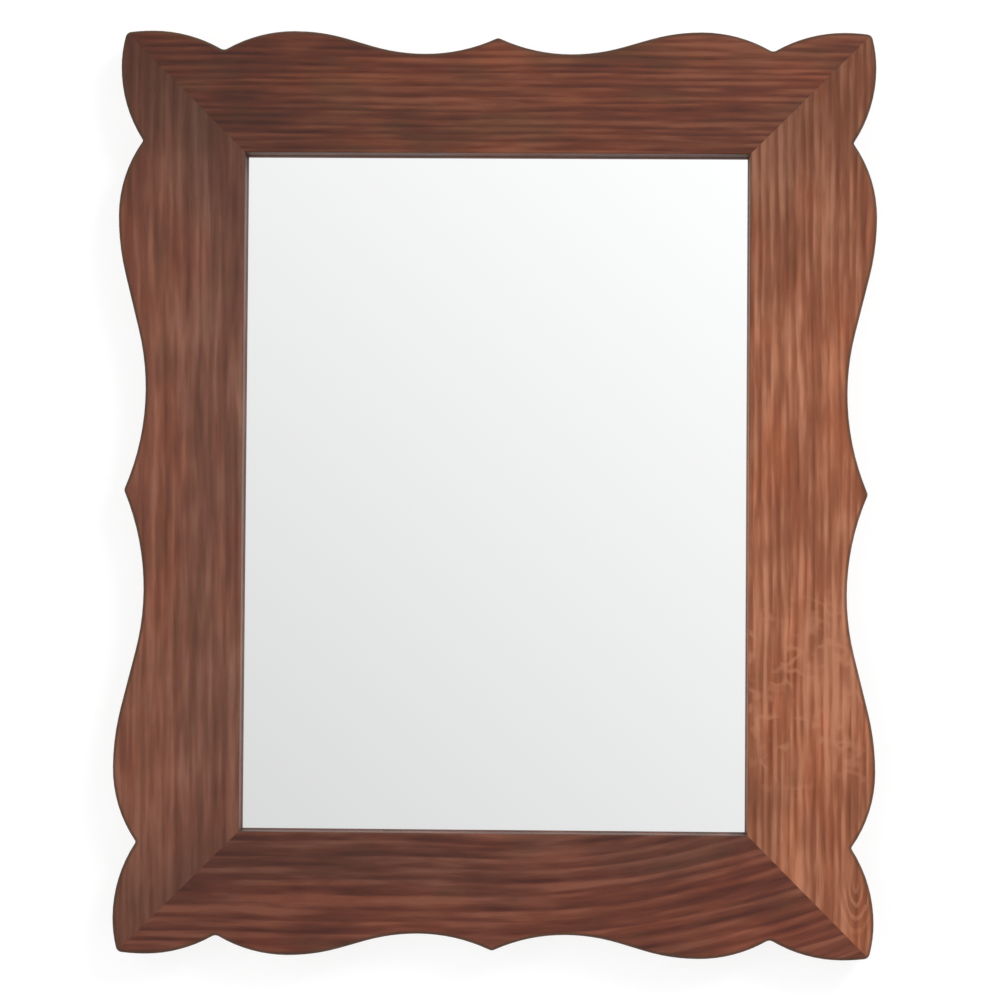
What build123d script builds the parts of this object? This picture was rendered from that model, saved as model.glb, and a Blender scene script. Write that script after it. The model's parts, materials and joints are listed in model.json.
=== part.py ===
from build123d import *
from math import asin, atan, cos, degrees, radians, sin, sqrt, tan
import os

os.makedirs("parts", exist_ok=True)

# A wall mirror in a scalloped oak frame. Sizes are in millimetres.
# X runs to the viewer's right, Z runs up and Y runs from the glass back to the wall.
# The origin is the middle of the mirror, on the plane of the wall.

# Mirror glass and the layers behind it
sight_width = 295.0  # glass that shows between the stiles
sight_height = 396.0  # glass that shows between the rails
lip_overlap = 5.0  # the frame's lip over the edge of the glass
edge_gap = 1.0  # between the edge of the glass and the rebate's wall
glass_thickness = 3.0
card_thickness = 2.0
backing_thickness = 3.0
backing_clearance = 0.5  # round the backing board in the rebate
block_length = 20.0  # setting block, along the edge of the glass
block_inset = 60.0  # sight corner to the block's middle

# Frame section
lip_thickness = 11.0  # wood in front of the glass
edge_round = 2.5  # front arris, all along the scallops
sight_round = 1.0  # front arris round the glass
back_chamfer = 0.8  # back arris, all along the scallops

# Scalloped edge of the top and bottom rails, outwards from the sight edge
rail_width = 71.6  # to the crown of a lobe
rail_cusp_width = 68.1  # to the point at the rail's middle
rail_valley_width = 58.5  # to the bottom of a hollow
rail_notch_width = 60.0  # to the notch beside the corner leaf
rail_leaf_width = 71.6  # to the crown of the corner leaf
rail_valley_from_middle = 42.7
rail_lobe_before_corner = 28.3
rail_notch_past_corner = 13.2
rail_leaf_past_corner = 54.7
rail_ogee_straight = 15.0  # straight part between hollow and lobe
rail_notch_radius = 4.0

# Scalloped edge of the stiles, outwards from the sight edge
stile_width = 74.0
stile_cusp_width = 69.3
stile_valley_width = 57.2
stile_notch_width = 60.1
stile_leaf_width = 73.3
stile_valley_from_middle = 58.6
stile_lobe_before_corner = 36.6
stile_notch_past_corner = 6.8
stile_leaf_past_corner = 50.5
stile_ogee_straight = 34.0
stile_notch_radius = 1.6

# Corner tips on the mitre lines, and the points at the middle of each side
corner_reach = 70.45  # sight corner to the tip, along X and along Z
tip_radius = 4.0
cusp_radius = 3.0
mitre_overrun = 12.0  # the mitre cuts run this much past the wood

# Mitre biscuits
biscuit_length = 56.0
biscuit_width = 23.0
biscuit_end_width = 5.0
biscuit_thickness = 4.0
biscuit_from_corner = 50.0  # sight corner to the biscuit's middle, along the mitre
biscuit_depth = 8.5  # front of the frame to the biscuit's middle
biscuit_clearance = 0.1

# Turn buttons that hold the backing board
button_thickness = 1.0
button_pivot_radius = 5.5
button_tip_radius = 3.5
button_length = 17.0  # pivot to the middle of the tip's round
button_set_back = 9.0  # rebate's wall to the pivot
button_rise_start = 13.0  # pivot to where the finger tip bends up
button_rise_angle = 16.0
button_play = 0.1  # under the button and over it
stile_button_spacing = 220.0
rail_button_spacing = 160.0

# Screws
shank_radius = 1.5
head_radius = 3.1
head_height = 1.9
head_crown_drop = 0.9  # crown of the head down to its rim
screw_grip = 11.0  # length of the shank in the wood
screw_tip_length = 3.0
pilot_clearance = 0.05
running_clearance = 0.08  # turn button on its screw, and ring in its strap

# Strap hangers with their D-rings
hanger_past_sight = 42.5  # sight edge outwards to the strap's middle
hanger_below_corner = 63.0  # sight corner down to the ring's bar
strap_thickness = 1.0
strap_width = 10.0
strap_length = 36.0  # ring's bar to the strap's end
strap_slope = 30.0  # upper layer, where it comes down to the lower one
strap_end_round = 4.0
strap_screw_first = 8.2  # ring's bar to the first screw
strap_screw_pitch = 20.0
strap_hole_clearance = 0.2
wire_radius = 1.1
ring_half_width = 8.2  # to the middle of the wire
ring_depth = 13.2  # bar to bow, between wire middles
ring_corner_radius = 2.4
ring_rest_gap = 0.15  # wire to the back of the frame, ring folded up
wall_gap = 0.14  # strap's loop to the wall

# Wall pads
pad_radius = 6.0
pad_edge_chamfer = 0.6
pad_past_corner_x = 32.5  # sight corner to the pad's middle
pad_past_corner_z = 52.0

# Sizes that follow from the ones above
half_width = sight_width / 2
half_height = sight_height / 2
glass_width = sight_width + 2 * lip_overlap
glass_height = sight_height + 2 * lip_overlap
rebate_width = glass_width + 2 * edge_gap
rebate_height = glass_height + 2 * edge_gap
rebate_depth = glass_thickness + card_thickness + backing_thickness
frame_thickness = lip_thickness + rebate_depth
front_round = min(edge_round, cusp_radius - 0.2, tip_radius - 0.2)
rear_chamfer = min(back_chamfer, cusp_radius - 0.2, tip_radius - 0.2)
loop_inner_radius = wire_radius + running_clearance
loop_outer_radius = loop_inner_radius + strap_thickness
stand_off = 2 * loop_outer_radius + wall_gap  # back of the frame to the wall
pilot_radius = shank_radius + pilot_clearance
hanger_offset = half_width + hanger_past_sight
hanger_height = half_height - hanger_below_corner
pad_offset_x = half_width + pad_past_corner_x
pad_offset_z = half_height + pad_past_corner_z

# Planes whose local X is the mirror's X and whose local Y is its Z, facing the viewer
wall_plane = Plane.XZ
back_plane = wall_plane.offset(stand_off)
glass_plane = back_plane.offset(backing_thickness + card_thickness)

sides = {"left": -1, "right": 1}
levels = {"top": 1, "bottom": -1}


def save(part, name):
    part.label = name
    export_step(part, f"parts/{name}.step")


# Outline of the joined frame


def ogee(low, high, straight):
    """S-curve that leaves and ends level, with a straight part in its middle."""
    run, rise = high[0] - low[0], high[1] - low[1]
    turn = 2 * atan(rise / (run + straight))
    radius = (rise / (2 * sin(turn)) - straight / 2) / tan(turn / 2)
    hollow = JernArc(start=low, tangent=(1, 0), radius=radius, arc_size=degrees(turn))
    slope = PolarLine(start=hollow @ 1, length=straight, angle=degrees(turn))
    JernArc(start=slope @ 1, tangent=slope % 1, radius=radius, arc_size=-degrees(turn))


def scalloped_edge(half, edge, cusp, valley, lobe, notch, leaf, straight):
    """Half of one side, from its middle to the corner tip. Each feature but the cusp is a
    place along the side and a width out from the sight edge; half and edge are the sight
    opening's half sizes along and across the side."""
    valley_point = (valley[0], edge + valley[1])
    lobe_point = (half - lobe[0], edge + lobe[1])
    notch_point = (half + notch[0], edge + notch[1])
    leaf_point = (half + leaf[0], edge + leaf[1])
    with BuildLine() as side:
        TangentArc(valley_point, (0, edge + cusp), tangent=(-1, 0))
        ogee(valley_point, lobe_point, straight)
        TangentArc(lobe_point, notch_point, tangent=(1, 0))
        TangentArc(leaf_point, notch_point, tangent=(-1, 0))
        TangentArc(leaf_point, (half + corner_reach, edge + corner_reach), tangent=(1, 0))
    return side.line


def at_points(vertices, points):
    """The vertices that lie at one of the points or at its mirror images."""
    return [
        v
        for v in vertices
        if any(abs(abs(v.X) - x) + abs(abs(v.Y) - y) < 0.01 for x, y in points)
    ]


rail_edge = scalloped_edge(
    half_width,
    half_height,
    rail_cusp_width,
    (rail_valley_from_middle, rail_valley_width),
    (rail_lobe_before_corner, rail_width),
    (rail_notch_past_corner, rail_notch_width),
    (rail_leaf_past_corner, rail_leaf_width),
    rail_ogee_straight,
)
stile_edge = scalloped_edge(
    half_height,
    half_width,
    stile_cusp_width,
    (stile_valley_from_middle, stile_valley_width),
    (stile_lobe_before_corner, stile_width),
    (stile_notch_past_corner, stile_notch_width),
    (stile_leaf_past_corner, stile_leaf_width),
    stile_ogee_straight,
)

# A quarter of it is drawn and mirrored, and its corners are rounded
with BuildSketch(back_plane) as outline:
    with BuildLine():
        add(rail_edge)
        add(mirror(stile_edge, about=Plane(origin=(0, 0, 0), z_dir=(1, -1, 0))))
        mirror(about=Plane.YZ)
        mirror(about=Plane.XZ)
    make_face()
    cusps = [(0, half_height + rail_cusp_width), (half_width + stile_cusp_width, 0)]
    fillet(at_points(outline.vertices(), cusps), cusp_radius)
    tips = [(half_width + corner_reach, half_height + corner_reach)]
    fillet(at_points(outline.vertices(), tips), tip_radius)
    rail_notches = [(half_width + rail_notch_past_corner, half_height + rail_notch_width)]
    fillet(at_points(outline.vertices(), rail_notches), rail_notch_radius)
    stile_notches = [(half_width + stile_notch_width, half_height + stile_notch_past_corner)]
    fillet(at_points(outline.vertices(), stile_notches), stile_notch_radius)

# The frame before it is cut at its mitres: the four boards in one, with the opening for the
# glass, the rebate behind its lip and the rounded arrises
with BuildPart() as joined_frame:
    extrude(outline.sketch, amount=frame_thickness)
    fillet(joined_frame.faces().sort_by(Axis.Y)[0].edges(), front_round)
    chamfer(joined_frame.faces().sort_by(Axis.Y)[-1].edges(), rear_chamfer)
    with BuildSketch(back_plane):
        Rectangle(sight_width, sight_height)
    extrude(amount=frame_thickness, mode=Mode.SUBTRACT)
    fillet(joined_frame.faces().sort_by(Axis.Y)[0].inner_wires().edges(), sight_round)
    with BuildSketch(back_plane):
        Rectangle(rebate_width, rebate_height)
    extrude(amount=rebate_depth, mode=Mode.SUBTRACT)


# Mitre biscuits and their slots

with BuildSketch() as biscuit_outline:
    with BuildLine():
        end = (biscuit_length / 2, biscuit_end_width / 2)
        ThreePointArc((-end[0], end[1]), (0, biscuit_width / 2), end)
        Line(end, (end[0], 0))
        Line((-end[0], 0), (-end[0], end[1]))
        mirror(about=Plane.XZ)
    make_face()


def mitre_plane(side, level):
    """Middle plane of the biscuit across a mitre; its local X runs along the mitre."""
    run = biscuit_from_corner / sqrt(2)
    depth = stand_off + frame_thickness - biscuit_depth
    middle = (side * (half_width + run), -depth, level * (half_height + run))
    return Plane(middle, x_dir=(side, 0, level), z_dir=(0, -1, 0))


def mitre_biscuit(side, level, clearance=0.0):
    """The biscuit of one corner or, with a clearance round it, the slot that it lies in."""
    with BuildPart() as biscuit:
        with BuildSketch(mitre_plane(side, level)):
            add(biscuit_outline.sketch)
            if clearance:
                offset(amount=clearance)
        extrude(amount=biscuit_thickness / 2 + clearance, both=True)
    return biscuit


# Places of the screws, as points on the planes that face the viewer

button_edge_x = rebate_width / 2 + button_set_back
button_edge_z = rebate_height / 2 + button_set_back

# Each turn button's pivot, and which way it points when it holds the backing board
button_places = {}
for level_name, level in levels.items():
    for side_name, side in sides.items():
        rail_pivot = (side * rail_button_spacing / 2, level * button_edge_z)
        button_places[f"{level_name}_{side_name}"] = (rail_pivot, (0, -level))
        stile_pivot = (side * button_edge_x, level * stile_button_spacing / 2)
        button_places[f"{side_name}_{level_name}"] = (stile_pivot, (-side, 0))
button_screw_points = [pivot for pivot, heading in button_places.values()]

strap_screw_drops = [strap_screw_first, strap_screw_first + strap_screw_pitch]
hanger_screw_points = [
    (side * hanger_offset, hanger_height - drop)
    for side in sides.values()
    for drop in strap_screw_drops
]


# The four boards of the frame


def frame_board(first, last):
    """One board, cut from the joined frame along the mitres at two of its corners. Each
    corner is given as its side and its level, 1 or -1."""
    inset = -mitre_overrun
    reach = corner_reach + mitre_overrun
    inner = [(s * (half_width + inset), v * (half_height + inset)) for s, v in (first, last)]
    outer = [(s * (half_width + reach), v * (half_height + reach)) for s, v in (last, first)]
    with BuildPart() as board:
        add(joined_frame.part)
        with BuildSketch(back_plane):
            Polygon(*inner, *outer, align=None)
        extrude(amount=frame_thickness, mode=Mode.INTERSECT)
        for side, level in (first, last):
            add(mitre_biscuit(side, level, biscuit_clearance).part, mode=Mode.SUBTRACT)
        with BuildSketch(back_plane):
            with Locations(*button_screw_points, *hanger_screw_points):
                Circle(pilot_radius)
        extrude(amount=screw_grip + pilot_clearance, mode=Mode.SUBTRACT)
    return board


boards = {
    "top_rail": ((-1, 1), (1, 1)),
    "right_stile": ((1, 1), (1, -1)),
    "bottom_rail": ((1, -1), (-1, -1)),
    "left_stile": ((-1, -1), (-1, 1)),
}
for name, (first, last) in boards.items():
    board = frame_board(first, last)
    save(board.part, name)

for level_name, level in levels.items():
    for side_name, side in sides.items():
        biscuit = mitre_biscuit(side, level)
        save(biscuit.part, f"biscuit_{level_name}_{side_name}")


# Glass and the layers behind it

with BuildPart() as mirror_glass:
    with BuildSketch(glass_plane):
        Rectangle(glass_width, glass_height)
    extrude(amount=glass_thickness)
save(mirror_glass.part, "mirror_glass")

with BuildPart() as setting_blocks:
    block_x = half_width - block_inset
    block_z = half_height - block_inset
    with BuildSketch(glass_plane):
        for level in levels.values():
            with Locations(*[(s * block_x, level * (glass_height + edge_gap) / 2) for s in (-1, 1)]):
                Rectangle(block_length, edge_gap)
        for side in sides.values():
            with Locations(*[(side * (glass_width + edge_gap) / 2, v * block_z) for v in (-1, 1)]):
                Rectangle(edge_gap, block_length)
    extrude(amount=glass_thickness)
save(setting_blocks.part, "setting_blocks")

with BuildPart() as card_sheet:
    with BuildSketch(back_plane.offset(backing_thickness)):
        Rectangle(glass_width, glass_height)
    extrude(amount=card_thickness)
save(card_sheet.part, "card_sheet")

with BuildPart() as backing_board:
    with BuildSketch(back_plane):
        Rectangle(rebate_width - 2 * backing_clearance, rebate_height - 2 * backing_clearance)
    extrude(amount=backing_thickness)
save(backing_board.part, "backing_board")


# Turn buttons


def turn_button(pivot, heading):
    """A flat finger with its tip bent up, on its back face's plane. It is the solid that
    the button's top view and its side view have in common."""
    along = Vector(heading[0], 0, heading[1])
    foot = Vector(pivot[0], -stand_off + button_play, pivot[1])
    rise = radians(button_rise_angle)
    tip = button_length + button_tip_radius
    lift = (tip - button_rise_start) * tan(rise)
    top_view = Plane(foot, x_dir=along, z_dir=(0, 1, 0))
    side_view = Plane(foot, x_dir=along, z_dir=along.cross(Vector(0, 1, 0)))
    with BuildPart() as button:
        with BuildSketch(top_view):
            Circle(button_pivot_radius)
            with Locations((button_length, 0)):
                Circle(button_tip_radius)
            make_hull()
            Circle(shank_radius + running_clearance, mode=Mode.SUBTRACT)
        extrude(amount=button_thickness + lift + 1)
        with BuildSketch(side_view):
            Polygon(
                (-button_pivot_radius, 0),
                (button_rise_start, 0),
                (tip, lift),
                (tip, lift + button_thickness / cos(rise)),
                (button_rise_start - button_thickness * tan(rise / 2), button_thickness),
                (-button_pivot_radius, button_thickness),
                align=None,
            )
        extrude(amount=button_pivot_radius, both=True, mode=Mode.INTERSECT)
    return button


for place, (pivot, heading) in button_places.items():
    button = turn_button(pivot, heading)
    save(button.part, f"turn_button_{place}")


# Screws


def pan_head_screw(seat):
    """A screw whose head bears at this height over the back of the frame. It stands on
    the local origin of the frame's back, with its head up."""
    with BuildPart() as screw:
        with BuildSketch(Plane.XZ):
            with BuildLine():
                crown = (0, seat + head_height)
                rim = (head_radius, seat + head_height - head_crown_drop)
                tip = (0, -screw_grip)
                TangentArc(crown, rim, tangent=(1, 0))
                Polyline(rim, (head_radius, seat), (shank_radius, seat))
                Polyline((shank_radius, seat), (shank_radius, screw_tip_length - screw_grip), tip)
                Line(tip, crown)
            make_face()
        revolve(axis=Axis.Z)
    return screw


def screw_group(points, seat):
    screw = pan_head_screw(seat)
    with BuildPart() as group:
        for x, z in points:
            back = Plane((x, -stand_off, z), x_dir=(1, 0, 0), z_dir=(0, 1, 0))
            add(back.location * screw.part)
    return group


button_screws = screw_group(button_screw_points, button_thickness + 2 * button_play)
save(button_screws.part, "button_screws")

hanger_screws = screw_group(hanger_screw_points, 2 * strap_thickness)
save(hanger_screws.part, "hanger_screws")


# Strap hangers and their D-rings


def hanger_strap(offset_x):
    """A strip folded round the ring's bar. Its side view has local X down the strap and
    local Y away from the frame."""
    slope = radians(strap_slope)
    lean = (sin(slope), cos(slope))
    loop_middle = (0, loop_outer_radius)
    outer_end = (loop_outer_radius * lean[0], loop_outer_radius * (1 + lean[1]))
    inner_end = (loop_inner_radius * lean[0], loop_outer_radius + loop_inner_radius * lean[1])
    outer_foot = outer_end[0] + (outer_end[1] - 2 * strap_thickness) / tan(slope)
    inner_foot = inner_end[0] + (inner_end[1] - strap_thickness) / tan(slope)
    side_view = Plane((offset_x, -stand_off, hanger_height), x_dir=(0, 0, -1), z_dir=(1, 0, 0))
    back_view = Plane((offset_x, -stand_off, hanger_height), x_dir=(1, 0, 0), z_dir=(0, 1, 0))
    with BuildPart() as strap:
        with BuildSketch(side_view):
            with BuildLine():
                loop = CenterArc(loop_middle, loop_outer_radius, 270, strap_slope - 360)
                Polyline(
                    loop @ 1,
                    (outer_foot, 2 * strap_thickness),
                    (strap_length, 2 * strap_thickness),
                    (strap_length, 0),
                    loop @ 0,
                )
            make_face()
            with BuildLine():
                hollow = CenterArc(loop_middle, loop_inner_radius, 270, strap_slope - 360)
                Polyline(hollow @ 1, (inner_foot, strap_thickness), hollow @ 0)
            make_face(mode=Mode.SUBTRACT)
        extrude(amount=strap_width / 2, both=True)
        end_corners = strap.edges().filter_by(Axis.Y).group_by(Axis.Z)[0]
        fillet(end_corners, strap_end_round)
        with BuildSketch(back_view):
            with Locations(*[(0, drop) for drop in strap_screw_drops]):
                Circle(shank_radius + strap_hole_clearance)
        extrude(amount=2 * strap_thickness, mode=Mode.SUBTRACT)
    return strap


def hanger_ring(offset_x):
    """The D of round wire, folded up so that its bow lies close to the frame."""
    bar_height = loop_outer_radius
    bow_height = wire_radius + ring_rest_gap
    tilt = asin((bar_height - bow_height) / ring_depth)
    bow_middle = (0, ring_depth - ring_half_width)
    ring_plane = Plane(
        (offset_x, bar_height - stand_off, hanger_height),
        x_dir=(1, 0, 0),
        z_dir=(0, -cos(tilt), -sin(tilt)),
    )
    bar_end = ring_half_width - ring_corner_radius
    with BuildPart() as ring:
        with BuildLine(ring_plane) as wire:
            bar = Line((-bar_end, 0), (bar_end, 0))
            corner = JernArc(start=(bar_end, 0), tangent=(1, 0), radius=ring_corner_radius, arc_size=90)
            Line(corner @ 1, ring_plane.from_local_coords((ring_half_width, bow_middle[1], 0)))
            CenterArc(bow_middle, ring_half_width, 0, 180)
            Line((-ring_half_width, bow_middle[1]), (-ring_half_width, ring_corner_radius))
            CenterArc((-bar_end, ring_corner_radius), ring_corner_radius, 180, 90)
        with BuildSketch(Plane(origin=bar @ 0.5, z_dir=bar % 0.5)):
            Circle(wire_radius)
        sweep(path=wire.line)
    return ring


for side_name, side in sides.items():
    strap = hanger_strap(side * hanger_offset)
    save(strap.part, f"hanger_strap_{side_name}")
    ring = hanger_ring(side * hanger_offset)
    save(ring.part, f"hanger_ring_{side_name}")


# Wall pads

for side_name, side in sides.items():
    with BuildPart() as wall_pad:
        with BuildSketch(wall_plane):
            with Locations((side * pad_offset_x, -pad_offset_z)):
                Circle(pad_radius)
        extrude(amount=stand_off)
        chamfer(wall_pad.edges().group_by(Axis.Y)[-1], pad_edge_chamfer)
    save(wall_pad.part, f"wall_pad_{side_name}")
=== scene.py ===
import bpy
import json
import math
import random
from mathutils import Matrix, Vector

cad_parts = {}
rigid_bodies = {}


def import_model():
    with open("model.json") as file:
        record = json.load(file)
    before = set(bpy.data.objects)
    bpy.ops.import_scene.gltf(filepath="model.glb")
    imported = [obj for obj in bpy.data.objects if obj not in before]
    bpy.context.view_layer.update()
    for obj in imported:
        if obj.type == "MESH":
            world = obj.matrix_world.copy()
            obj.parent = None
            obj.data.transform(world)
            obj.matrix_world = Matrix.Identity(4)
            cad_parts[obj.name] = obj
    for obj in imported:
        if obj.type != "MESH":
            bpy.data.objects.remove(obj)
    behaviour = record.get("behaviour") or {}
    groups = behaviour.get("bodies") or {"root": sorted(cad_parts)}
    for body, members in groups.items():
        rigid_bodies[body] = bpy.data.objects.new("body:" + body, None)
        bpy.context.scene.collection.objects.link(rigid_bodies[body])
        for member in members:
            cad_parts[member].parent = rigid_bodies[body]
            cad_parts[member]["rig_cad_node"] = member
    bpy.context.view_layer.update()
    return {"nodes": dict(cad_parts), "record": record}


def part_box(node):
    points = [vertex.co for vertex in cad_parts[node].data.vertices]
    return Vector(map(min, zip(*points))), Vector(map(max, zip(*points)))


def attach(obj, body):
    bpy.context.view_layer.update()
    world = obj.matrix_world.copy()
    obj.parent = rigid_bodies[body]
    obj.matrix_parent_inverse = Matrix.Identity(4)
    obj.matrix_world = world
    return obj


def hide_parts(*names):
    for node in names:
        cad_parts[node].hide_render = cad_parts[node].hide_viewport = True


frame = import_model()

# A mirror in a scalloped oak frame, hung on a white wall.
# Metres; x to the viewer's right, z up, y from the glass back to the wall.

mm = 0.001
nodes = frame["nodes"]
random.seed(11)
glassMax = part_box("mirror_glass")[1]


# shader wiring

class Wire:
    # an output socket that takes part in sums, so that 1 - mask * 0.5 adds its Math nodes
    def __init__(self, tree, socket):
        self.tree = tree
        self.socket = socket

    def math(self, operation, *others):
        values = dict(enumerate((self, *others)))
        return addNode(self.tree, "ShaderNodeMath", {"operation": operation}, values)

    def __add__(self, other):
        return self.math("ADD", other)

    def __sub__(self, other):
        return self.math("SUBTRACT", other)

    def __rsub__(self, other):
        return self.math("MULTIPLY", -1.0).math("ADD", other)

    def __mul__(self, other):
        return self.math("MULTIPLY", other)

    def __truediv__(self, other):
        return self.math("DIVIDE", other)

    def __pow__(self, other):
        return self.math("POWER", other)

    __radd__ = __add__
    __rmul__ = __mul__

    def clip(self, low=0.0, high=1.0):
        return self.math("MAXIMUM", low).math("MINIMUM", high)

    def rise(self, low, high):  # 0 at low, 1 at high, smooth between and level past both
        settings = {"interpolation_type": "SMOOTHSTEP"}
        return addNode(self.tree, "ShaderNodeMapRange", settings, {0: self, 1: low, 2: high})


def addNode(tree, kind, settings, sockets, output=0):
    node = tree.nodes.new(kind)
    for name, value in settings.items():
        if name == "stops":
            ramp = node.color_ramp
            while len(ramp.elements) < len(value):
                ramp.elements.new(0.5)
            for element, (place, tone) in zip(ramp.elements, value):
                element.position = place
                element.color = tone
        else:
            setattr(node, name, value)
    for name, value in sockets.items():
        if isinstance(value, Wire):
            tree.links.new(value.socket, node.inputs[name])
        else:
            node.inputs[name].default_value = value
    return Wire(tree, node.outputs[output]) if node.outputs else None


def newMaterial(name):
    material = bpy.data.materials.new(name)
    material.use_nodes = True
    material.node_tree.nodes.clear()
    return material, material.node_tree


def closeMaterial(tree, shader):
    addNode(tree, "ShaderNodeOutputMaterial", {}, {"Surface": shader})


def objectPlace(tree):
    return addNode(tree, "ShaderNodeTexCoord", {}, {}, "Object")


def splitUp(tree, vector):
    return [addNode(tree, "ShaderNodeSeparateXYZ", {}, {0: vector}, i) for i in range(3)]


def faceTurn(tree):  # how far the surface faces the viewer (-1), the side (0) or the wall (1)
    return splitUp(tree, addNode(tree, "ShaderNodeTexCoord", {}, {}, "Normal"))[1]


def noise(tree, place, size, seed=0.0, detail=2.0, rough=0.5):
    # size is the pattern's, one number or one along each axis; seed shows another part of it
    sizes = size if isinstance(size, tuple) else (size,) * 3
    spot = addNode(tree, "ShaderNodeMapping", {}, {
        "Vector": place,
        "Scale": [1 / s for s in sizes],
        "Location": (seed, seed * 0.37, -seed * 0.71),
    })
    return addNode(tree, "ShaderNodeTexNoise", {}, {
        "Vector": spot, "Scale": 1.0, "Detail": detail, "Roughness": rough})


def blend(tree, factor, first, second, mode="MIX"):
    settings = {"data_type": "RGBA", "blend_type": mode}
    return addNode(tree, "ShaderNodeMix", settings, {0: factor, 6: first, 7: second}, 2)


def relief(tree, height, strength, distance):
    sockets = {"Strength": strength, "Distance": distance, "Height": height}
    return addNode(tree, "ShaderNodeBump", {}, sockets)


def linear(channel):
    channel = channel / 255
    return channel / 12.92 if channel <= 0.04045 else ((channel + 0.055) / 1.055) ** 2.4


def colour(red, green, blue):
    return (linear(red), linear(green), linear(blue), 1.0)


def grey(level):
    return (level, level, level, 1.0)


# The figure of the wood. Each pattern: how long, wide and deep it is in millimetres,
# where its noise starts, its detail and its roughness.
figures = {
    "sway": (120, 60, 60, 0, 1.0, 0.5),
    "uneven": (210, 12, 14, 5, 1.5, 0.5),
    "pore": (12, 0.55, 0.7, 9, 2.0, 0.5),
    "streak": (30, 3.0, 4, 13, 1.6, 0.4),
    "band": (120, 7, 9, 21, 2.0, 0.5),
    "broken": (34, 7, 9, 27, 2.0, 0.5),
    "blotch": (52, 34, 30, 33, 3.0, 0.5),
    "warmth": (60, 20, 30, 47, 3.0, 0.5),
    "wriggle": (11, 15, 9, 60, 1.0, 0.5),
    "fleckPatch": (17, 17, 17, 66, 2.0, 0.5),
    "greening": (44, 17, 30, 71, 3.0, 0.5),
}

# Stained oak of the four boards. A pair of numbers is where a pattern starts and is full.
oak = {
    "lateWood": (0.05, 0.6),  # across one growth ring
    "earlyWood": (0.76, 1.0),
    "uneven": 1.3,  # rings' widths
    "broken": (0.38, 0.6),
    "ringFaint": 0.3,  # a ring's strength where it fades, and what it gains elsewhere
    "ringGain": 1.2,
    "pore": (0.52, 0.66),
    "poreInLate": 0.35,  # share of the pores that late wood keeps
    "poreShare": 0.17,
    "streakShare": 1.05,
    "bandShare": 0.95,
    "blotchShare": 0.85,
    "tone": 0.52,
    "stops": (0.08, 0.5, 0.92),  # of the dark, middle and light tone
    "warm": (1.4, 1.05, 0.86, 1.0),  # a redder tint over the tones below it
    "warmth": (0.46, 0.66),
    "warmShare": 0.28,
    "warmOut": (18 * mm, 48 * mm),  # outwards from the edge of the glass
    "olive": colour(80, 60, 38),
    "greening": (0.5, 0.68),
    "oliveShare": 0.42,
    # painted shade: the tone that the rounded outer edge darkens to as it turns away from the front
    "rim": colour(72, 54, 37),
    "rimTurn": (0.0, 0.5),
    "rimShare": 0.66,
    "rimInside": 0.3,  # share of the painted edge shade on the edge round the glass
    "insideWidth": 2 * mm,
    "raw": colour(170, 128, 92),
    "rawTurn": (0.5, 0.9),
    "rawBlotch": 1.3,
    "rawShare": 0.7,
    "roughness": 0.52,
    "roughPore": 0.2,
    "roughBlotch": 0.3,
    "specular": 0.2,
    "bump": 0.18,
    "bumpDepth": 0.3 * mm,
    "streakHeight": 0.25,
    "poreHeight": -0.6,
    "earlyHeight": -0.12,
}

# Each board: the way its grain runs, its growth rings round a pith that lies off the board,
# and its tones. bow bends its grain down to the right; smoke darkens or lightens its tone from one
# place along it to another, by a factor; warmOut reddens its outer half.
boards = {
    "top_rail": {
        "grain": "x", "seed": 3.1, "wander": 3 * mm, "slope": 0.004, "bow": 0.0,
        "pith": (-0.9, 0.25), "ring": 4.4 * mm, "ringShare": 0.26, "streaky": 0.75,
        "smoke": [(0.02, -0.2, 0.72)], "olive": 0.65, "warmOut": 0.15, "figured": False,
        "tones": (colour(68, 35, 27), colour(95, 50, 35), colour(122, 73, 53)),
    },
    "bottom_rail": {
        "grain": "x", "seed": 17.4, "wander": 5 * mm, "slope": 0.0, "bow": 0.95,
        "pith": (-0.5, 0.06), "ring": 7.4 * mm, "ringShare": 0.34, "streaky": 0.7,
        "smoke": [(0.02, -0.2, 0.85), (0.02, 0.14, 1.12)],
        "olive": 0.4, "warmOut": 0.38, "figured": False,
        "tones": (colour(68, 35, 28), colour(92, 51, 39), colour(117, 73, 58)),
    },
    "left_stile": {
        "grain": "z", "seed": 29.8, "wander": 4 * mm, "slope": 0.012, "bow": 0.0,
        "pith": (-0.7, 0.3), "ring": 6.0 * mm, "ringShare": 0.13, "streaky": 0.7,
        "smoke": [(0.11, 0.25, 0.5), (-0.165, -0.235, 0.63)],
        "olive": 0.5, "warmOut": 0.35, "figured": False,
        "tones": (colour(86, 50, 39), colour(110, 69, 54), colour(135, 93, 77)),
    },
    "right_stile": {
        "grain": "z", "seed": 41.3, "wander": 3 * mm, "slope": 0.006, "bow": 0.0,
        "pith": (0.8, 0.2), "ring": 4.8 * mm, "ringShare": 0.26, "streaky": 0.75,
        "smoke": [(0.04, 0.25, 0.54), (-0.1, -0.2, 0.94)],
        "olive": 0.25, "warmOut": 0.1, "figured": True,
        "tones": (colour(115, 62, 40), colour(144, 86, 60), colour(181, 122, 93)),
    },
}

# ray flecks of the figured board: soft pale wriggles between the pores, low on it
fleck = {
    "thin": (0.01, 0.1),
    "patch": (0.47, 0.6),
    "middle": -0.115,  # along the board
    "reach": (0.03, 0.075),
    "share": 0.52,
}

# curly grain at its foot
curl = {
    "middle": (-0.226, 0.209),  # along the board and across it
    "spacing": 3.2 * mm,
    "waver": 3 * mm,
    "loop": (-0.2, 0.9),
    "reach": (6 * mm, 14 * mm),
    "below": (-4 * mm, 6 * mm),
    "stretch": 0.4,
    "share": 0.38,
}


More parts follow.
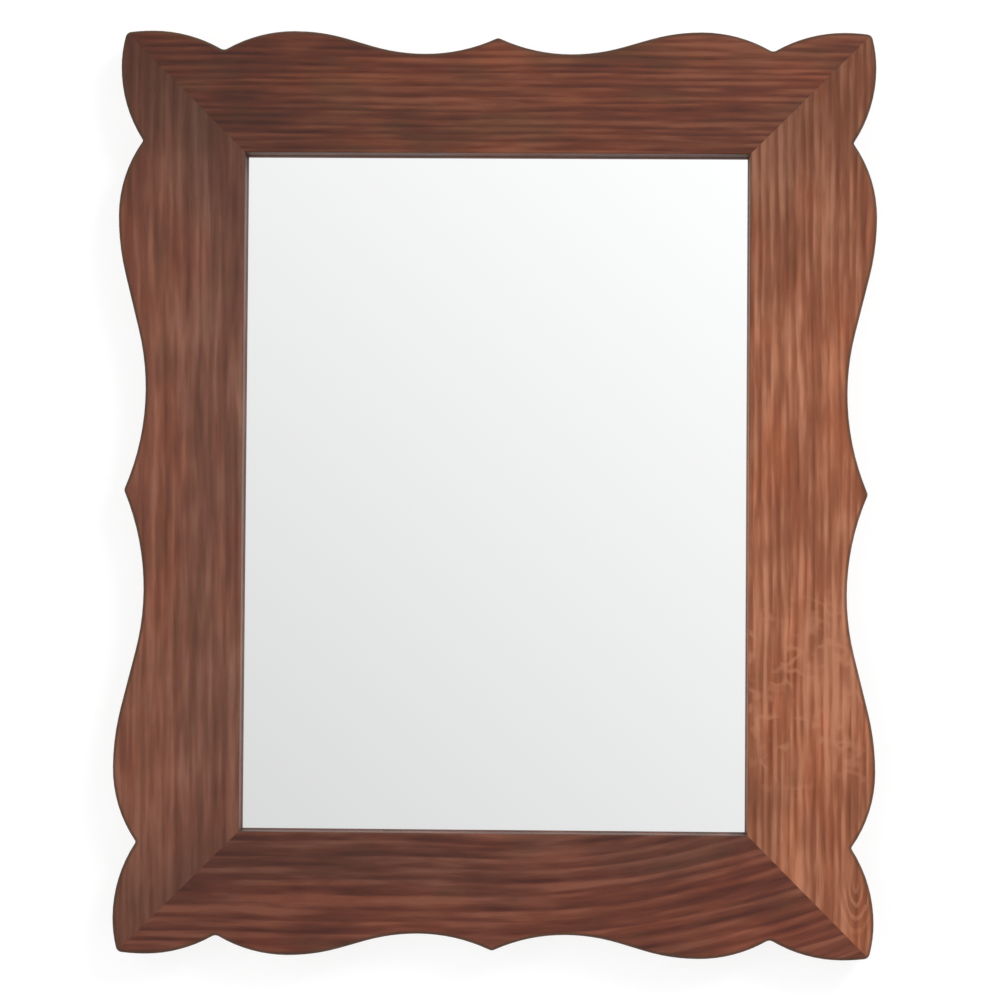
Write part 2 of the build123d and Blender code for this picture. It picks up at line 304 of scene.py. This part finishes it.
def figure(tree, board, name, place):
    # one of the wood's patterns, from another part of it on each board
    length, width, depth, start, detail, rough = figures[name]
    size = (length * mm, width * mm, depth * mm)
    return noise(tree, place, size, board["seed"] + start, detail, rough)


def layGrain(tree, board, along, across, deep):
    # the fibres sway a little, and the patterns that are laid on this place follow them
    straight = addNode(tree, "ShaderNodeCombineXYZ", {}, {0: along, 1: across, 2: deep})
    sway = figure(tree, board, "sway", straight) - 0.5
    fibre = across + sway * board["wander"] + along * board["slope"]
    if board["bow"]:
        right = along.math("MAXIMUM", 0.0)
        fibre = fibre - right * right * board["bow"]
    return fibre, addNode(tree, "ShaderNodeCombineXYZ", {}, {0: along, 1: fibre, 2: deep})


def growRings(tree, board, place, fibre, deep):
    # 1 in the porous early wood of each ring, 0 in its dense late wood
    pithAcross, pithDeep = board["pith"]
    out = fibre - pithAcross
    radius = (out * out + (deep + pithDeep) ** 2).math("SQRT")
    uneven = figure(tree, board, "uneven", place) * oak["uneven"]
    ring = (radius / board["ring"] + uneven).math("FRACT")
    return (1 - ring.rise(*oak["lateWood"]) + ring.rise(*oak["earlyWood"])).clip()


def addFlecks(tree, board, wood, place, along):
    light = board["tones"][-1]
    wriggle = figure(tree, board, "wriggle", place) - 0.5
    flecks = 1 - wriggle.math("ABSOLUTE").rise(*fleck["thin"])
    flecks = flecks * figure(tree, board, "fleckPatch", place).rise(*fleck["patch"])
    far = (along - fleck["middle"]).math("ABSOLUTE").rise(*fleck["reach"])
    return blend(tree, flecks * (1 - far) * fleck["share"], wood, light)


def addCurl(tree, board, wood, along, fibre, streak):
    dark, _, light = board["tones"]
    curlAlong, curlAcross = curl["middle"]
    up = (along - curlAlong) * curl["stretch"]
    aside = fibre - curlAcross
    away = (up * up + aside * aside).math("SQRT") + streak * curl["waver"]
    loop = (away * (2 * math.pi / curl["spacing"])).math("SINE").rise(*curl["loop"])
    near = (1 - away.rise(*curl["reach"])) * (curlAlong - along).rise(*curl["below"])
    near = near * curl["share"]
    wood = blend(tree, near * loop, wood, light)
    return blend(tree, near * (1 - loop), wood, dark)


def shadeRimAndRawBack(tree, wood, x, z, blotch):
    # painted shade darkens the rounded outer edge as it turns away from the front, less so round
    # the glass, and the back took little stain
    turn = faceTurn(tree)
    inside = oak["insideWidth"]
    outside = x.math("ABSOLUTE").rise(glassMax[0] - inside, glassMax[0])
    outside = (outside + z.math("ABSOLUTE").rise(glassMax[2] - inside, glassMax[2])).clip()
    # painted shade, stronger as the face turns from the front to the side
    rim = (1 - turn * turn).clip().math("SQRT").rise(*oak["rimTurn"])
    rim = rim * (oak["rimInside"] + outside * (1 - oak["rimInside"])) * oak["rimShare"]
    wood = blend(tree, rim, wood, oak["rim"])
    back = turn.rise(*oak["rawTurn"]) * (1 + blotch * oak["rawBlotch"])
    return blend(tree, (back * oak["rawShare"]).clip(), wood, oak["raw"])


def oakMaterial(boardName):
    board = boards[boardName]
    dark = board["tones"][0]
    material, tree = newMaterial("oak_" + boardName)
    x, deep, z = splitUp(tree, objectPlace(tree))
    along, across = (x, z) if board["grain"] == "x" else (z, x)
    glassHalf = glassMax[2] if board["grain"] == "x" else glassMax[0]
    fibre, place = layGrain(tree, board, along, across, deep)
    early = growRings(tree, board, place, fibre, deep)

    # open pores, streaks, broad bands and blotches of stain
    poreInLate = oak["poreInLate"]
    pores = figure(tree, board, "pore", place).rise(*oak["pore"])
    pores = pores * (poreInLate + early * (1 - poreInLate))
    streak = figure(tree, board, "streak", place) - 0.5
    band = figure(tree, board, "band", place) - 0.5
    blotch = figure(tree, board, "blotch", place) - 0.5
    clear = figure(tree, board, "broken", place).rise(*oak["broken"])
    clear = clear * oak["ringGain"] + oak["ringFaint"]
    tone = oak["tone"] - (early - 0.5) * clear * board["ringShare"]
    tone = tone + streak * (oak["streakShare"] * board["streaky"])
    tone = tone + band * oak["bandShare"] + blotch * oak["blotchShare"]
    stops = list(zip(oak["stops"], board["tones"]))
    wood = addNode(tree, "ShaderNodeValToRGB", {"stops": stops}, {0: tone.clip()})

    # redder and greener places, the dark pores, and the change of tone along the board
    outer = fibre.math("ABSOLUTE") - glassHalf
    warmth = figure(tree, board, "warmth", place).rise(*oak["warmth"]) * oak["warmShare"]
    warmth = (warmth + outer.rise(*oak["warmOut"]) * board["warmOut"]).clip()
    wood = blend(tree, warmth, wood, oak["warm"], "MULTIPLY")
    wood = blend(tree, pores * oak["poreShare"], wood, dark)
    greening = figure(tree, board, "greening", place).rise(*oak["greening"])
    wood = blend(tree, greening * (oak["oliveShare"] * board["olive"]), wood, oak["olive"])
    for start, end, factor in board["smoke"]:
        wood = blend(tree, along.rise(start, end), wood, grey(factor), "MULTIPLY")

    if board["figured"]:
        wood = addFlecks(tree, board, wood, place, along)
        wood = addCurl(tree, board, wood, along, fibre, streak)
    wood = shadeRimAndRawBack(tree, wood, x, z, blotch)

    height = streak * oak["streakHeight"] + pores * oak["poreHeight"] + early * oak["earlyHeight"]
    roughness = oak["roughness"] + pores * oak["roughPore"] + blotch * oak["roughBlotch"]
    shader = addNode(tree, "ShaderNodeBsdfPrincipled", {}, {
        "Base Color": wood,
        "Roughness": roughness.clip(),
        "Specular IOR Level": oak["specular"],
        "Normal": relief(tree, height, oak["bump"], oak["bumpDepth"]),
    })
    closeMaterial(tree, shader)
    return material


# Finishes in two tones: patches of them, with a fine grit in tone, roughness and relief.
plain = {
    "biscuit_wood": {
        "name": "pressed_beech", "first": colour(188, 148, 108), "second": colour(206, 168, 126),
        "patch": 6 * mm, "roughness": 0.7, "bump": 0.3, "grit": 0.9 * mm,
    },
    "block_rubber": {
        "name": "block_rubber", "first": colour(38, 38, 38), "second": colour(50, 49, 48),
        "patch": 8 * mm, "roughness": 0.75, "bump": 0.1, "grit": 0.4 * mm,
    },
    "card": {
        "name": "grey_card", "first": colour(150, 142, 128), "second": colour(168, 160, 146),
        "patch": 12 * mm, "roughness": 0.9, "bump": 0.25, "grit": 0.4 * mm,
    },
    "hardboard": {
        "name": "hardboard", "first": colour(116, 78, 50), "second": colour(132, 92, 61),
        "patch": 9 * mm, "roughness": 0.55, "bump": 0.35, "grit": 0.6 * mm,
    },
    "pad_rubber": {
        "name": "pad_rubber", "first": colour(44, 40, 38), "second": colour(58, 54, 50),
        "patch": 5 * mm, "roughness": 0.7, "bump": 0.2, "grit": 0.4 * mm,
    },
}

# what these finishes have in common
twoTone = {
    "patchShare": 0.7,
    "gritShare": 0.3,
    "edge": (0.35, 0.65),
    "patchRough": 0.25,
    "gritRough": 0.1,
    "gritHeight": 0.1 * mm,
}


def plainMaterial(finish):
    material, tree = newMaterial(finish["name"])
    place = objectPlace(tree)
    patches = noise(tree, place, finish["patch"], seed=2.0, detail=4.0, rough=0.6)
    grit = noise(tree, place, finish["grit"], seed=7.0, rough=0.6)
    tone = patches * twoTone["patchShare"] + grit * twoTone["gritShare"]
    tone = tone.rise(*twoTone["edge"])
    roughness = finish["roughness"] + (patches - 0.5) * twoTone["patchRough"]
    roughness = roughness + (grit - 0.5) * twoTone["gritRough"]
    shader = addNode(tree, "ShaderNodeBsdfPrincipled", {}, {
        "Base Color": blend(tree, tone, finish["first"], finish["second"]),
        "Roughness": roughness.clip(),
        "Normal": relief(tree, grit, finish["bump"], twoTone["gritHeight"]),
    })
    closeMaterial(tree, shader)
    return material


mirror = {
    "silver": (0.925, 0.93, 0.93, 1.0),
    "edge": colour(96, 128, 116),
    "paint": colour(92, 98, 104),
    "speck": colour(120, 124, 128),
    "speckSize": 1.2 * mm,
    "speckEdge": (0.4, 0.6),
    "speckShare": 0.25,
    "facing": (0.6, 0.95),  # turned this far, a face counts as front or back
    "edgeRoughness": 0.45,
    "haze": 0.004,
    "hazeSize": 60 * mm,
    "hazeEdge": (0.45, 0.75),
}


def mirrorMaterial():
    # silver seen through the front, green ground edges and grey paint on the back
    material, tree = newMaterial("mirror")
    place = objectPlace(tree)
    turn = faceTurn(tree)
    front = (turn * -1).rise(*mirror["facing"])
    back = turn.rise(*mirror["facing"])
    speck = noise(tree, place, mirror["speckSize"], seed=8.0).rise(*mirror["speckEdge"])
    paint = blend(tree, speck * mirror["speckShare"], mirror["paint"], mirror["speck"])
    body = blend(tree, back, mirror["edge"], paint)
    haze = noise(tree, place, mirror["hazeSize"], seed=4.0, detail=3.0)
    haze = haze.rise(*mirror["hazeEdge"]) * mirror["haze"]
    rough = mirror["edgeRoughness"] * (1 - front)
    shader = addNode(tree, "ShaderNodeBsdfPrincipled", {}, {
        "Base Color": blend(tree, front, body, mirror["silver"]),
        "Metallic": front,
        "Roughness": (rough + haze).clip(),
    })
    closeMaterial(tree, shader)
    return material


steel = {
    "cool": colour(196, 194, 188),
    "yellow": colour(208, 200, 172),
    "filmSize": 9 * mm,
    "filmEdge": (0.35, 0.65),
    "spangle": colour(168, 172, 176),
    "spangleSize": 0.9 * mm,
    "spangleEdge": (0.4, 0.7),
    "spangleShare": 0.3,
    "scratchSize": (0.12 * mm, 0.12 * mm, 7 * mm),
    "roughness": 0.28,
    "filmRough": 0.2,
    "scratchRough": 0.18,
    "bump": 0.12,
    "bumpDepth": 0.05 * mm,
}


def steelMaterial():
    # zinc plate: a cool film over a yellower one, with spangles and fine scratches
    material, tree = newMaterial("plated_steel")
    place = objectPlace(tree)
    film = noise(tree, place, steel["filmSize"], seed=3.0, detail=3.0)
    spangle = noise(tree, place, steel["spangleSize"], seed=6.0).rise(*steel["spangleEdge"])
    scratch = noise(tree, place, steel["scratchSize"], seed=9.0)
    tint = blend(tree, film.rise(*steel["filmEdge"]), steel["cool"], steel["yellow"])
    tint = blend(tree, spangle * steel["spangleShare"], tint, steel["spangle"])
    roughness = steel["roughness"] + (film - 0.5) * steel["filmRough"]
    roughness = roughness + (scratch - 0.5) * steel["scratchRough"]
    shader = addNode(tree, "ShaderNodeBsdfPrincipled", {}, {
        "Base Color": tint,
        "Metallic": 1.0,
        "Roughness": roughness.clip(),
        "Normal": relief(tree, scratch, steel["bump"], steel["bumpDepth"]),
    })
    closeMaterial(tree, shader)
    return material


print("scene: materials")
materials = {slot: plainMaterial(finish) for slot, finish in plain.items()}
materials["mirror_glass"] = mirrorMaterial()
materials["plated_steel"] = steelMaterial()
slotOf = {row["node"]: row["material_slot"] for row in frame["record"]["subparts"]}
for nodeName, node in nodes.items():
    isOak = slotOf[nodeName] == "frame_wood"
    node.data.materials.clear()
    node.data.materials.append(oakMaterial(nodeName) if isOak else materials[slotOf[nodeName]])


# pieces

def deselectAll():
    if bpy.context.object and bpy.context.object.mode != "OBJECT":
        bpy.ops.object.mode_set(mode="OBJECT")
    bpy.ops.object.select_all(action="DESELECT")


def pickUp(piece):
    deselectAll()
    piece.select_set(True)
    bpy.context.view_layer.objects.active = piece


def placeInMesh():
    bpy.ops.object.transform_apply(location=True, rotation=True, scale=True)


def pieceName(nodeName):  # turn_button_top_left becomes turnButtonTopLeft
    first, *others = nodeName.split("_")
    return first + "".join(word.capitalize() for word in others)


def copyOf(nodeName):
    # a node's shape with its triangles joined up, to be finished by hand
    pickUp(nodes[nodeName])
    bpy.ops.object.duplicate()
    piece = bpy.context.object
    piece.name = pieceName(nodeName)
    piece.data.name = piece.name
    del piece["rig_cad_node"]
    bpy.ops.object.mode_set(mode="EDIT")
    bpy.ops.mesh.select_all(action="SELECT")
    bpy.ops.mesh.remove_doubles(threshold=0.002 * mm)
    bpy.ops.mesh.dissolve_limited(angle_limit=math.radians(0.3))
    bpy.ops.mesh.select_all(action="DESELECT")
    bpy.ops.object.mode_set(mode="OBJECT")
    return piece


def selectFaces(piece, test):
    # back in edit mode with only the faces that pass the test
    pickUp(piece)
    bpy.ops.object.mode_set(mode="EDIT")
    bpy.ops.mesh.select_mode(type="FACE")
    bpy.ops.mesh.select_all(action="DESELECT")
    bpy.ops.object.mode_set(mode="OBJECT")
    for face in piece.data.polygons:
        face.select = test(face)
    bpy.ops.object.mode_set(mode="EDIT")


def applyModifier(piece, name, kind, settings):
    pickUp(piece)
    modifier = piece.modifiers.new(name, kind)
    for key, value in settings.items():
        setattr(modifier, key, value)
    bpy.ops.object.modifier_apply(modifier=modifier.name)


def smoothRounds(piece, angle):
    pickUp(piece)
    bpy.ops.object.shade_smooth_by_angle(angle=math.radians(angle))


def keepFlatsFlat(piece, angle=30):
    # round parts shade smooth, and broad flats keep their own normals up to the edge
    smoothRounds(piece, angle)
    applyModifier(piece, "flats", "WEIGHTED_NORMAL", {"weight": 90, "keep_sharp": True})


def softenEdges(piece, width, segments=2, angle=35):
    applyModifier(piece, "soften", "BEVEL", {
        "width": width,
        "segments": segments,
        "limit_method": "ANGLE",
        "angle_limit": math.radians(angle),
    })
    keepFlatsFlat(piece)


def standFor(piece, nodeName):
    bodies = frame["record"]["behaviour"]["bodies"]
    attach(piece, next(body for body, names in bodies.items() if nodeName in names))
    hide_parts(nodeName)


mitre = {
    "easing": 0.22 * mm,  # a stroke of sandpaper along the joint
    "leastArea": 300 * mm * mm,  # of a mitre's face
    "slack": 0.01,  # in how its normal points
}


def makeBoard(nodeName):
    piece = copyOf(nodeName)

    def onMitre(face):
        nx, ny, nz = face.normal
        offSlant = max(abs(ny), abs(abs(nx) - abs(nz)))
        return offSlant < mitre["slack"] and face.area > mitre["leastArea"]

    selectFaces(piece, onMitre)
    bpy.ops.mesh.region_to_loop()
    bpy.ops.mesh.bevel(offset=mitre["easing"], segments=1, clamp_overlap=True)
    bpy.ops.object.mode_set(mode="OBJECT")
    keepFlatsFlat(piece)
    standFor(piece, nodeName)


print("scene: boards")
for nodeName in boards:
    makeBoard(nodeName)

print("scene: glass, backing and fittings")
# how far the edges of each piece are eased
easedBy = {
    "mirror_glass": 0.4 * mm,
    "backing_board": 0.35 * mm,
    "hanger_strap_left": 0.14 * mm,
    "hanger_strap_right": 0.14 * mm,
    "wall_pad_left": 0.25 * mm,
    "wall_pad_right": 0.25 * mm,
}
easedBy.update({name: 0.16 * mm for name in nodes if name.startswith("turn_button")})
for nodeName, width in easedBy.items():
    piece = copyOf(nodeName)
    softenEdges(piece, width)
    standFor(piece, nodeName)
for nodeName in ("hanger_ring_left", "hanger_ring_right"):
    ring = copyOf(nodeName)
    smoothRounds(ring, 40)
    standFor(ring, nodeName)


# Pan-head screws with a cross recess. The shank points to the viewer, the head to the wall,
# and each ring of the outline is a place along the screw and a radius.
screw = {
    "sides": 40,
    "tip": [(-11 * mm, 0.15 * mm)],
    "shank": [(-8 * mm, 1.5 * mm), (0.0, 1.5 * mm)],
    "head": [(0.0, 2.95 * mm), (0.15 * mm, 3.1 * mm), (0.92 * mm, 3.1 * mm)],
    "crown": [
        (1.08 * mm, 2.98 * mm), (1.22 * mm, 2.7 * mm), (1.49 * mm, 2.14 * mm),
        (1.7 * mm, 1.5 * mm), (1.84 * mm, 0.8 * mm),
    ],
    "recess": (4.0 * mm, 0.85 * mm, 1.3 * mm),  # across, wide, and deep below the crown
    "taper": (0.35, 0.75),  # of an arm's length and of its width, down to its floor
    "clearAbove": 1 * mm,  # how far the cutter stands past the crown
    "smoothBelow": 28,  # degrees
    "buttonSeat": 0.6 * mm,  # a turn button's middle to the head that holds it
    "strapSeat": -2.5 * mm,
    "strapPlaces": {"Lower": 7.8 * mm, "Upper": 27.8 * mm},  # up from a strap's end
}


def turnedPiece(name, rings, sides):
    # a round piece about the y axis, drawn out ring by ring
    y, radius = rings[0]
    deselectAll()
    bpy.ops.mesh.primitive_circle_add(
        vertices=sides, radius=radius, fill_type="NGON",
        location=(0, y, 0), rotation=(math.radians(90), 0, 0))
    piece = bpy.context.object
    piece.name = name
    placeInMesh()
    bpy.ops.object.mode_set(mode="EDIT")
    bpy.ops.mesh.select_all(action="SELECT")
    for nextY, nextRadius in rings[1:]:
        bpy.ops.mesh.extrude_region_move(TRANSFORM_OT_translate={"value": (0, nextY - y, 0)})
        grow = nextRadius / radius
        bpy.ops.transform.resize(value=(grow, 1, grow), center_override=(0, nextY, 0))
        y, radius = nextY, nextRadius
    bpy.ops.mesh.select_all(action="SELECT")
    bpy.ops.mesh.normals_make_consistent(inside=False)
    bpy.ops.object.mode_set(mode="OBJECT")
    return piece


def cutCross(piece, top):
    # one arm of the cross is cut, then the other
    long, wide, depth = screw["recess"]
    lengthwise, sideways = screw["taper"]
    above = screw["clearAbove"]
    for across, along, shrink in (
            (long, wide, (lengthwise, 1, sideways)), (wide, long, (sideways, 1, lengthwise))):
        deselectAll()
        bpy.ops.mesh.primitive_cube_add(size=1, location=(0, top - depth / 2 + above / 2, 0))
        cutter = bpy.context.object
        cutter.scale = (across, depth + above, along)
        placeInMesh()
        selectFaces(cutter, lambda face: face.normal.y < -0.9)
        bpy.ops.transform.resize(value=shrink, center_override=(0, top - depth, 0))
        bpy.ops.object.mode_set(mode="OBJECT")
        applyModifier(piece, "recess", "BOOLEAN", {
            "operation": "DIFFERENCE", "solver": "EXACT", "object": cutter})
        bpy.data.objects.remove(cutter)


def drive(name, nodeName, place):
    # a copy of the screw, driven home at some turn of its cross
    pickUp(screwMade)
    bpy.ops.object.duplicate()
    copy = bpy.context.object
    copy.name = name
    copy.data.name = name
    copy.location = place
    copy.rotation_euler = (0, random.uniform(0, math.pi / 2), 0)
    placeInMesh()
    copy.data.materials.clear()
    copy.data.materials.append(materials["plated_steel"])
    standFor(copy, nodeName)


print("scene: screws")
rings = screw["tip"] + screw["shank"] + screw["head"] + screw["crown"]
screwMade = turnedPiece("screwMade", rings, screw["sides"])
cutCross(screwMade, rings[-1][0])
keepFlatsFlat(screwMade, screw["smoothBelow"])
for turning in frame["record"]["behaviour"]["joints"]:
    if turning["name"].endswith("_turn"):
        x, y, z = turning["pos_m"]
        screwName = pieceName(turning["name"].replace("_turn", "_screw"))
        drive(screwName, "button_screws", (x, y + screw["buttonSeat"], z))
for side in ("left", "right"):
    low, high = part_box("hanger_strap_" + side)
    for level, up in screw["strapPlaces"].items():
        place = ((low[0] + high[0]) / 2, screw["strapSeat"], low[2] + up)
        drive(pieceName("hanger_screw_" + side) + level, "hanger_screws", place)
bpy.data.objects.remove(screwMade)


# wall, floor, lights and camera

room = {
    "size": 6.0,
    "wallBehind": 0.2 * mm,
    "floorLevel": -0.75,
    "floorAhead": 3.0,  # less than the mirror can show of it
    "glow": 0.80,  # share of the white that doesn't depend on light, so that shadows stay faint
    "paint": 0.24,
    "bounce": 0.8,
}


def rayIs(tree, kind):
    return addNode(tree, "ShaderNodeLightPath", {}, {}, "Is " + kind + " Ray")


def backdropMaterial(name, isWall):
    material, tree = newMaterial(name)
    direct = (rayIs(tree, "Camera") + rayIs(tree, "Glossy") + rayIs(tree, "Transmission")).clip()
    paint = addNode(tree, "ShaderNodeBsdfDiffuse", {}, {"Color": grey(room["paint"])})
    glow = addNode(tree, "ShaderNodeEmission", {}, {"Color": grey(1), "Strength": room["glow"]})
    shown = addNode(tree, "ShaderNodeAddShader", {}, {0: paint, 1: glow})
    if isWall:  # open to light, and to a look from behind
        behind = addNode(tree, "ShaderNodeNewGeometry", {}, {}, "Backfacing")
        hidden = addNode(tree, "ShaderNodeBsdfTransparent", {}, {})
        direct = direct * (1 - behind)
    else:
        hidden = addNode(tree, "ShaderNodeBsdfDiffuse", {}, {"Color": grey(room["bounce"])})
    closeMaterial(tree, addNode(tree, "ShaderNodeMixShader", {}, {0: direct, 1: hidden, 2: shown}))
    return material


def makeBackdrop(name, place, tilt):
    deselectAll()
    bpy.ops.mesh.primitive_plane_add(
        size=room["size"], location=place, rotation=(math.radians(tilt), 0, 0))
    backdrop = bpy.context.object
    backdrop.name = name
    placeInMesh()
    backdrop.data.materials.append(backdropMaterial(name + "_white", name == "wall"))
    return backdrop


def makeBackdrops():
    half = room["size"] / 2
    level = room["floorLevel"]
    wall = makeBackdrop("wall", (0, room["wallBehind"], level + half), 90)
    floor = makeBackdrop("floor", (0, half - room["floorAhead"], level), 0)


sky = {
    "ambient": 0.55,
    "middle": 0.907,  # what the mirror sees straight ahead, and how it grows to the right and up
    "toRight": 0.68,
    "upward": 0.763,
    "darkest": 0.62,
    "brightest": 1.12,
    "flattest": 0.05,  # least share ahead that the slopes of a look are worked out with
}


def makeWorld():
    world = bpy.data.worlds.new("studio")
    bpy.context.scene.world = world
    world.use_nodes = True
    tree = world.node_tree
    tree.nodes.clear()
    x, y, z = splitUp(tree, addNode(tree, "ShaderNodeTexCoord", {}, {}, "Generated"))
    ahead = y.math("ABSOLUTE").math("MAXIMUM", sky["flattest"])
    level = sky["middle"] + x / ahead * sky["toRight"] + z / ahead * sky["upward"]
    level = level.clip(sky["darkest"], sky["brightest"])
    seen, mirrored = rayIs(tree, "Camera"), rayIs(tree, "Glossy")
    through = rayIs(tree, "Transmission")
    ambient = sky["ambient"] * (1 - seen) * (1 - mirrored) * (1 - through)
    strength = (seen + through).clip() + mirrored * level + ambient
    background = addNode(tree, "ShaderNodeBackground", {}, {"Color": grey(1), "Strength": strength})
    addNode(tree, "ShaderNodeOutputWorld", {}, {"Surface": background})


lamps = {
    "key": {"place": (1.25, -1.5, 1.35), "size": 0.7, "power": 26.0},
    "fill": {"place": (-1.4, -1.7, 0.5), "size": 1.4, "power": 9.0},
    "rear": {"place": (-0.9, 1.6, 1.2), "size": 1.2, "power": 24.0},
}


def makeLamps():
    for lampName, lamp in lamps.items():
        deselectAll()
        bpy.ops.object.light_add(type="AREA", location=lamp["place"])
        light = bpy.context.object
        light.name = "lamp_" + lampName
        light.data.shape = "SQUARE"
        light.data.size = lamp["size"]
        light.data.energy = lamp["power"]
        light.rotation_mode = "QUATERNION"
        light.rotation_quaternion = (-Vector(lamp["place"])).to_track_quat("-Z", "Y")


# the camera was placed by the corners of the glass and of the frame in the photograph
view = {
    "distance": 1.5003,
    "offset": (-0.0012, -0.0031),
    "turns": (-1.47, 1.04, 0.38),  # degrees about x, y and z, with y down and z ahead
    "faceDepth": -0.0235,
    "scaleDistance": 1500.0,  # millimetres, where a pixel is as large as the next line says
    "millimetresPerPixel": 0.5815,
    "pixels": 995,
    "sensor": 36.0,
    "clip": (0.05, 50),
}


def makeCamera():
    tilt, pan, roll = [math.radians(a) for a in view["turns"]]
    turned = Matrix.Rotation(roll, 3, "Z") @ Matrix.Rotation(pan, 3, "Y")
    turned = turned @ Matrix.Rotation(tilt, 3, "X")
    toWorld = Matrix(((1, 0, 0), (0, 0, 1), (0, -1, 0)))
    move = Vector((*view["offset"], view["distance"]))
    place = toWorld @ (turned.transposed() @ -move) + Vector((0, view["faceDepth"], 0))
    right, down, ahead = [toWorld @ row for row in turned]
    facing = Matrix((right, -down, -ahead)).transposed()
    deselectAll()
    bpy.ops.object.camera_add(location=place, rotation=facing.to_euler())
    camera = bpy.context.object
    camera.name = "camera"
    camera.data.sensor_width = view["sensor"]
    focal = view["scaleDistance"] / view["millimetresPerPixel"]
    camera.data.lens = focal * view["sensor"] / view["pixels"]
    camera.data.clip_start, camera.data.clip_end = view["clip"]
    bpy.context.scene.camera = camera


print("scene: room")
makeBackdrops()
makeWorld()
makeLamps()
makeCamera()
bpy.context.scene.view_settings.view_transform = "Standard"
